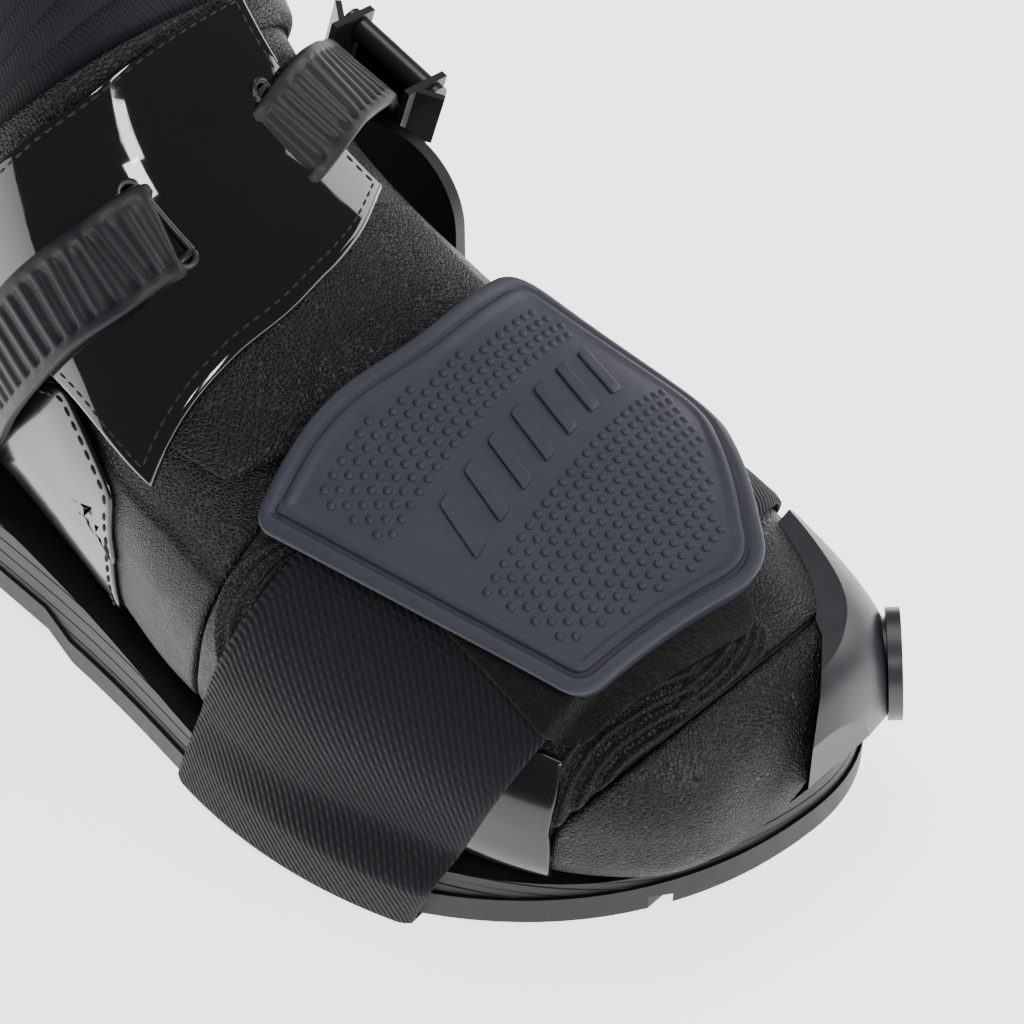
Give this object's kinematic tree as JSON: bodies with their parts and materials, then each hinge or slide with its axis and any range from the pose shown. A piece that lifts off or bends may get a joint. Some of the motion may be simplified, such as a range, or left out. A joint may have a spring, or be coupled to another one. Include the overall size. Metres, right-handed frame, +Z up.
{
  "type": "riding boot",
  "caption": "Left riding boot with a ratchet ankle strap, patent instep panel, toe slider and a studded rubber shift pad held by an elastic band.",
  "frame": {"origin": "on the ground under the middle of the sole", "axes": "+Z up, toe towards -Y, heel towards +Y, +X the outer side of this left boot"},
  "size_m": [0.1353, 0.3064, 0.302],
  "materials": {
    "leather": "fine-grained black leather",
    "smooth_leather": "smooth semi-gloss black leather",
    "patent": "mirror-gloss black patent",
    "rubber": "matte slate-black rubber",
    "sole_rubber": "matte black rubber",
    "moulded": "satin black moulded plastic",
    "plate": "flat black",
    "knit": "ribbed black elastic knit",
    "textile": "black woven textile",
    "lining": "dark grey napped lining",
    "foam": "open-cell foam",
    "board": "pressed fibre board",
    "steel": "brushed",
    "black_steel": "satin black coated metal"
  },
  "bodies": {
    "foot": {"outsole": "sole_rubber", "midsole": "sole_rubber", "steel_shank": "steel", "insole_board": "board", "footbed": "foam", "foot_lining": "lining", "toe_stiffener": "board", "heel_counter": "board", "foot_padding": "foam", "toe_box": "leather", "vamp": "leather", "throat": "leather", "inner_quarter": "leather", "outer_quarter": "leather", "heel_leather": "leather", "forefoot_side_panel": "smooth_leather", "inner_gloss_panel": "smooth_leather", "inner_mesh_panel": "textile", "heel_guard": "moulded", "lower_instep_pad": "leather", "upper_instep_pad": "leather", "patent_panel": "patent", "elastic_band": "knit", "pad_felt": "textile", "shift_pad": "rubber", "toe_slider": "moulded", "slider_boss": "moulded", "slider_screws": "black_steel", "ankle_plate": "plate", "plate_spacers": "moulded", "plate_screws": "black_steel", "buckle_base": "moulded", "buckle_pin": "black_steel", "pawl_pin": "black_steel", "buckle_rivets": "black_steel", "strap_anchor": "black_steel", "anchor_screw": "black_steel", "ratchet_strap": "rubber", "front_bellows": "textile", "rear_bellows": "textile"},
    "shaft": {"shaft_front": "leather", "inner_shaft_side": "leather", "outer_shaft_side": "leather", "calf_stretch_panel": "textile", "shaft_padding": "foam", "shaft_lining": "lining", "padded_collar": "leather", "shin_plate": "moulded", "outer_ankle_guard": "moulded", "inner_ankle_guard": "moulded", "zip_tapes": "textile", "zip_teeth": "black_steel", "zip_stop": "black_steel", "flap_loop_patch": "textile", "pull_loop": "textile"},
    "lever": {"buckle_lever": "moulded"},
    "pawl": {"buckle_pawl": "black_steel"},
    "slider": {"zip_slider": "black_steel"},
    "pull": {"zip_pull": "black_steel"},
    "flap": {"top_flap": "leather"}
  },
  "joints": [
    {"name": "ankle_flex", "type": "hinge", "parent": "foot", "child": "shaft", "pos_m": [0, 0.068, 0.098], "axis": [1, 0, 0], "range_deg": [-8, 15], "stiffness_Nm_per_rad": 4, "deforming": ["front_bellows", "rear_bellows"]},
    {"name": "lever_hinge", "type": "hinge", "parent": "foot", "child": "lever", "pos_m": [0.06665, 0.022, 0.107], "axis": [0, -0.9397, -0.342], "range_deg": [0, 110]},
    {"name": "pawl_hinge", "type": "hinge", "parent": "foot", "child": "pawl", "pos_m": [0.065, 0.02576, 0.09666], "axis": [0, -0.9397, -0.342], "range_deg": [0, 5], "stiffness_Nm_per_rad": 0.02},
    {"name": "zip_slide", "type": "slide", "parent": "shaft", "child": "slider", "axis": [-0.1149, 0, 0.9934], "range_m": [-0.08, 0]},
    {"name": "zip_pull_swing", "type": "hinge", "parent": "slider", "child": "pull", "pos_m": [-0.06084, 0.07, 0.25577], "axis": [0, 1, 0], "range_deg": [0, 140]},
    {"name": "flap_hinge", "type": "hinge", "parent": "shaft", "child": "flap", "pos_m": [-0.0548, 0.104, 0.2745], "axis": [0.1581, 0, -0.9874], "range_deg": [0, 95]}
  ]
}
